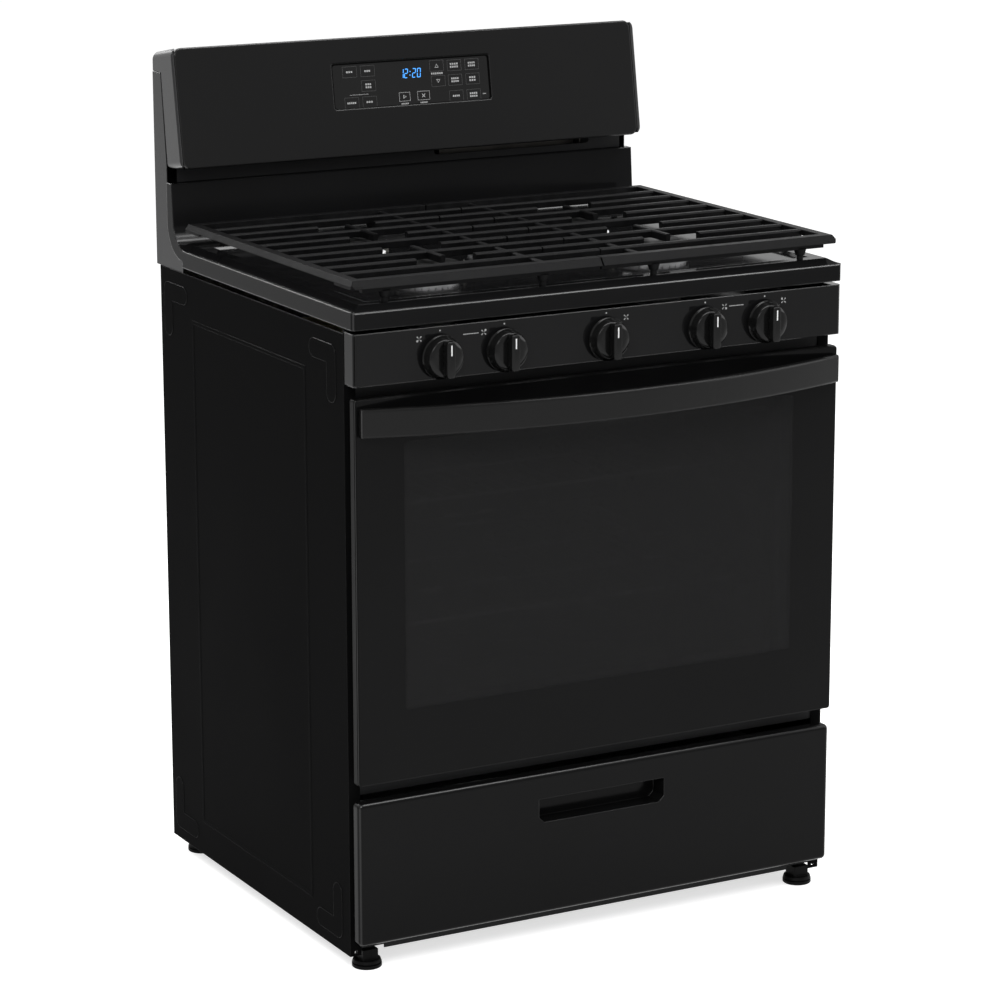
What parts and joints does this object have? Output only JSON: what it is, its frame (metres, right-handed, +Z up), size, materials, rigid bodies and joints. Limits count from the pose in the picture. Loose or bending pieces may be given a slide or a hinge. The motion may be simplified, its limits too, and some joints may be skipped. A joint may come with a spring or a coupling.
{
  "type": "freestanding gas range",
  "caption": "Freestanding gas range with upswept cooktop, cast grates, front knobs, drop-down oven door with bowed handle, sliding racks and storage drawer",
  "frame": {"origin": "on the floor, at the centre of the footprint from the handle's front to the backguard's rear", "axes": "+X right as seen from the front, +Y to the rear, +Z up"},
  "size_m": [0.759, 0.7029, 1.1955],
  "materials": {
    "side_paint": "black paint, satin gloss",
    "galvanised_sheet": "galvanised sheet steel",
    "frame_paint": "black paint, matt",
    "oven_enamel": "dark speckled porcelain enamel",
    "burner_steel": "aluminised steel tube",
    "rack_wire": "plated steel wire",
    "lamp_glass": "frosted lamp cover",
    "stem_steel": "turned steel",
    "glass_wool": "glass wool",
    "cooktop_enamel": "gloss black porcelain enamel",
    "burner_aluminium": "bright die-cast aluminium",
    "cap_enamel": "matt black enamelled iron",
    "white_ceramic": "white glazed ceramic",
    "grate_iron": "cast iron with black enamel",
    "panel_enamel": "gloss black enamel",
    "pipe_aluminium": "cast and drawn aluminium",
    "valve_brass": "brass",
    "knob_plastic": "moulded black plastic",
    "console_gloss": "gloss black panel",
    "cap_plastic": "moulded black plastic",
    "keypad_film": "gloss black touch film",
    "board": "circuit board with a lit display",
    "black_glass": "black tempered glass with a darker clear window",
    "door_paint": "black paint, satin",
    "clear_glass": "clear heat-resistant glass",
    "handle_paint": "gloss black paint",
    "hinge_steel": "zinc-plated steel",
    "gasket_braid": "woven glass-fibre rope",
    "drawer_paint": "gloss black paint",
    "drawer_steel": "grey painted sheet",
    "foot_plastic": "moulded black nylon",
    "screw_steel": "zinc-plated steel",
    "duct_steel": "aluminised steel darkened by heat",
    "cover_paint": "black paint, gloss"
  },
  "bodies": {
    "range_body": {"left_side_panel": "side_paint", "right_side_panel": "side_paint", "rear_panel": "galvanised_sheet", "base_frame": "frame_paint", "front_frame": "frame_paint", "oven_liner": "oven_enamel", "oven_floor": "oven_enamel", "bake_burner": "burner_steel", "broil_burner": "burner_steel", "oven_light": "lamp_glass", "temperature_sensor": "stem_steel", "insulation": "glass_wool", "flue_duct": "duct_steel", "cooktop": "cooktop_enamel", "burner_bases": "burner_aluminium", "burner_heads": "burner_aluminium", "round_caps": "cap_enamel", "oval_cap": "cap_enamel", "igniters": "white_ceramic", "control_panel": "panel_enamel", "gas_manifold": "pipe_aluminium", "gas_valves": "valve_brass", "pressure_regulator": "pipe_aluminium", "console_panel": "console_gloss", "left_end_cap": "cap_plastic", "right_end_cap": "cap_plastic", "backguard_cover": "cover_paint", "keypad": "keypad_film", "control_board": "board", "vent_trim": "frame_paint", "hinge_arms": "hinge_steel", "door_gasket": "gasket_braid", "drawer_rails": "galvanised_sheet", "screws": "screw_steel"},
    "door": {"door_glass": "black_glass", "door_frame": "door_paint", "door_liner": "oven_enamel", "window_glass": "clear_glass", "door_handle": "handle_paint", "door_hinges": "hinge_steel"},
    "drawer": {"drawer_front": "drawer_paint", "drawer_box": "drawer_steel"},
    "upper_rack_body": {"upper_rack": "rack_wire"},
    "lower_rack_body": {"lower_rack": "rack_wire"},
    "left_grate_body": {"left_grate": "grate_iron"},
    "right_grate_body": {"right_grate": "grate_iron"},
    "stem_1": {"valve_stem_1": "stem_steel"},
    "stem_2": {"valve_stem_2": "stem_steel"},
    "stem_3": {"valve_stem_3": "stem_steel"},
    "stem_4": {"valve_stem_4": "stem_steel"},
    "stem_5": {"valve_stem_5": "stem_steel"},
    "knob_body_1": {"knob_1": "knob_plastic"},
    "knob_body_2": {"knob_2": "knob_plastic"},
    "knob_body_3": {"knob_3": "knob_plastic"},
    "knob_body_4": {"knob_4": "knob_plastic"},
    "knob_body_5": {"knob_5": "knob_plastic"},
    "leg_front_left": {"front_left_leg": "foot_plastic"},
    "leg_front_right": {"front_right_leg": "foot_plastic"},
    "leg_rear_left": {"rear_left_leg": "foot_plastic"},
    "leg_rear_right": {"rear_right_leg": "foot_plastic"}
  },
  "joints": [
    {"name": "door_hinge", "type": "hinge", "parent": "range_body", "child": "door", "pos_m": [0, -0.269, 0.275], "axis": [1, 0, 0], "range_deg": [0, 88], "stiffness_Nm_per_rad": 12, "springref_deg": -17.19},
    {"name": "drawer_slide", "type": "slide", "parent": "range_body", "child": "drawer", "axis": [0, -1, 0], "range_m": [0, 0.38]},
    {"name": "upper_rack_slide", "type": "slide", "parent": "range_body", "child": "upper_rack_body", "axis": [0, -1, 0], "range_m": [0, 0.03]},
    {"name": "lower_rack_slide", "type": "slide", "parent": "range_body", "child": "lower_rack_body", "axis": [0, -1, 0], "range_m": [0, 0.03]},
    {"name": "left_grate_lift", "type": "slide", "parent": "range_body", "child": "left_grate_body", "axis": [0, 0, 1], "range_m": [0, 0.1]},
    {"name": "right_grate_lift", "type": "slide", "parent": "range_body", "child": "right_grate_body", "axis": [0, 0, 1], "range_m": [0, 0.1]},
    {"name": "knob_turn_1", "type": "hinge", "parent": "range_body", "child": "stem_1", "pos_m": [-0.252, -0.283, 0.843], "axis": [0, -1, 0], "range_deg": [0, 240]},
    {"name": "knob_turn_2", "type": "hinge", "parent": "range_body", "child": "stem_2", "pos_m": [-0.156, -0.283, 0.843], "axis": [0, -1, 0], "range_deg": [0, 240]},
    {"name": "knob_turn_3", "type": "hinge", "parent": "range_body", "child": "stem_3", "pos_m": [0, -0.283, 0.843], "axis": [0, -1, 0], "range_deg": [0, 240]},
    {"name": "knob_turn_4", "type": "hinge", "parent": "range_body", "child": "stem_4", "pos_m": [0.156, -0.283, 0.843], "axis": [0, -1, 0], "range_deg": [0, 240]},
    {"name": "knob_turn_5", "type": "hinge", "parent": "range_body", "child": "stem_5", "pos_m": [0.252, -0.283, 0.843], "axis": [0, -1, 0], "range_deg": [0, 240]},
    {"name": "knob_push_1", "type": "slide", "parent": "stem_1", "child": "knob_body_1", "axis": [0, 1, 0], "range_m": [0, 0.003], "stiffness_N_per_m": 800},
    {"name": "knob_push_2", "type": "slide", "parent": "stem_2", "child": "knob_body_2", "axis": [0, 1, 0], "range_m": [0, 0.003], "stiffness_N_per_m": 800},
    {"name": "knob_push_3", "type": "slide", "parent": "stem_3", "child": "knob_body_3", "axis": [0, 1, 0], "range_m": [0, 0.003], "stiffness_N_per_m": 800},
    {"name": "knob_push_4", "type": "slide", "parent": "stem_4", "child": "knob_body_4", "axis": [0, 1, 0], "range_m": [0, 0.003], "stiffness_N_per_m": 800},
    {"name": "knob_push_5", "type": "slide", "parent": "stem_5", "child": "knob_body_5", "axis": [0, 1, 0], "range_m": [0, 0.003], "stiffness_N_per_m": 800},
    {"name": "leg_front_left_screw", "type": "hinge", "parent": "range_body", "child": "leg_front_left", "pos_m": [-0.349, -0.243, 0.04], "axis": [0, 0, -1], "range_deg": [0, 720]},
    {"name": "leg_front_right_screw", "type": "hinge", "parent": "range_body", "child": "leg_front_right", "pos_m": [0.349, -0.243, 0.04], "axis": [0, 0, -1], "range_deg": [0, 720]},
    {"name": "leg_rear_left_screw", "type": "hinge", "parent": "range_body", "child": "leg_rear_left", "pos_m": [-0.349, 0.3035, 0.04], "axis": [0, 0, -1], "range_deg": [0, 720]},
    {"name": "leg_rear_right_screw", "type": "hinge", "parent": "range_body", "child": "leg_rear_right", "pos_m": [0.349, 0.3035, 0.04], "axis": [0, 0, -1], "range_deg": [0, 720]}
  ]
}
